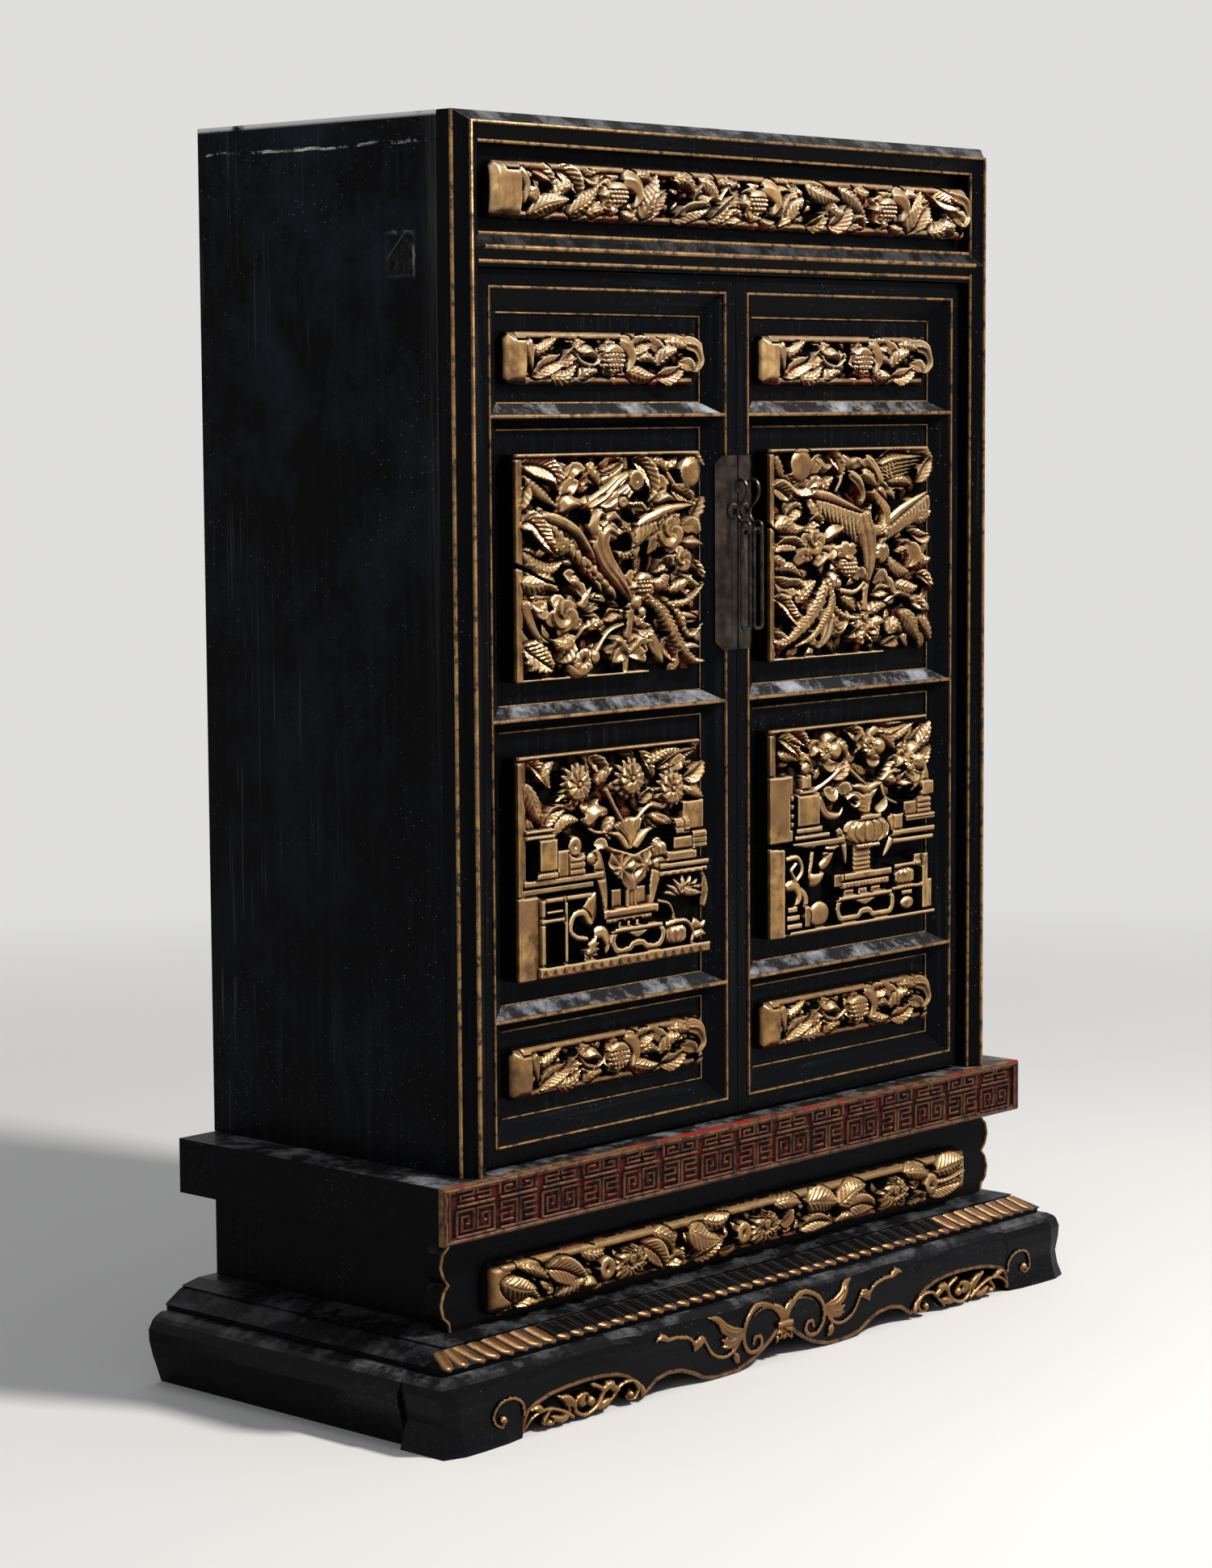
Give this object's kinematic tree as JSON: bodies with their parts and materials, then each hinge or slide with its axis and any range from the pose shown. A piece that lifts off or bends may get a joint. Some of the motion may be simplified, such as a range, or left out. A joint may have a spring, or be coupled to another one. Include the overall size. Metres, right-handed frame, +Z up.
{
  "type": "household shrine cabinet",
  "caption": "Upright lacquered wooden shrine cabinet with paired panelled doors, carved gilt plaques and lock metal, on a waisted moulded stand with a scalloped apron.",
  "frame": {"origin": "centre of the bounding box on the floor", "axes": "+Z up, the doors face -Y, +X to the right of someone facing the doors"},
  "size_m": [0.608, 0.26, 0.769],
  "materials": {
    "lacquer": "black lacquer, satin to gloss, worn at the edges",
    "gilt": "old gold leaf over red ground on carved wood",
    "red_gilt": "red lacquer with worn gilt lines",
    "lock_metal": "dark brown patina"
  },
  "bodies": {
    "cabinet": {"left_side_board": "lacquer", "right_side_board": "lacquer", "left_front_post": "lacquer", "right_front_post": "lacquer", "top_rail": "lacquer", "frieze_rail": "lacquer", "frieze_panel": "lacquer", "frieze_plaque": "gilt", "top_board": "lacquer", "back_board": "lacquer", "floor_board": "lacquer", "slab": "lacquer", "fret_frieze": "red_gilt", "waist_front": "lacquer", "left_waist_side": "lacquer", "right_waist_side": "lacquer", "waist_plaque": "gilt", "petal_moulding": "lacquer", "left_side_moulding": "lacquer", "right_side_moulding": "lacquer", "front_apron": "lacquer", "left_side_apron": "lacquer", "right_side_apron": "lacquer", "stand_back": "lacquer"},
    "left_door": {"left_hinge_stile": "lacquer", "left_meeting_stile": "lacquer", "left_door_bottom_rail": "lacquer", "left_door_top_rail": "lacquer", "left_door_low_rail": "lacquer", "left_door_middle_rail": "lacquer", "left_door_high_rail": "lacquer", "left_bottom_panel": "lacquer", "left_bottom_plaque": "gilt", "left_vase_panel": "lacquer", "left_vase_plaque": "gilt", "left_bird_panel": "lacquer", "left_bird_plaque": "gilt", "left_top_panel": "lacquer", "left_top_plaque": "gilt", "left_lock_plate": "lock_metal", "left_lock_hook": "lock_metal"},
    "right_door": {"right_hinge_stile": "lacquer", "right_meeting_stile": "lacquer", "right_door_bottom_rail": "lacquer", "right_door_top_rail": "lacquer", "right_door_low_rail": "lacquer", "right_door_middle_rail": "lacquer", "right_door_high_rail": "lacquer", "right_bottom_panel": "lacquer", "right_bottom_plaque": "gilt", "right_vase_panel": "lacquer", "right_vase_plaque": "gilt", "right_bird_panel": "lacquer", "right_bird_plaque": "gilt", "right_top_panel": "lacquer", "right_top_plaque": "gilt", "right_lock_plate": "lock_metal", "right_lock_hook": "lock_metal"},
    "left_pull": {"left_lock_pull": "lock_metal"},
    "right_pull": {"right_lock_pull": "lock_metal"}
  },
  "joints": [
    {"name": "left_door_hinge", "type": "hinge", "parent": "cabinet", "child": "left_door", "pos_m": [-0.2234, -0.082, 0.4], "axis": [0, 0, 1], "range_deg": [-95, 0]},
    {"name": "right_door_hinge", "type": "hinge", "parent": "cabinet", "child": "right_door", "pos_m": [0.2234, -0.082, 0.4], "axis": [0, 0, 1], "range_deg": [0, 95]},
    {"name": "left_pull_swing", "type": "hinge", "parent": "left_door", "child": "left_pull", "pos_m": [-0.0057, -0.1016, 0.52357], "axis": [1, 0, 0], "range_deg": [-80, 5]},
    {"name": "right_pull_swing", "type": "hinge", "parent": "right_door", "child": "right_pull", "pos_m": [0.0057, -0.1016, 0.52357], "axis": [1, 0, 0], "range_deg": [-80, 5]}
  ]
}
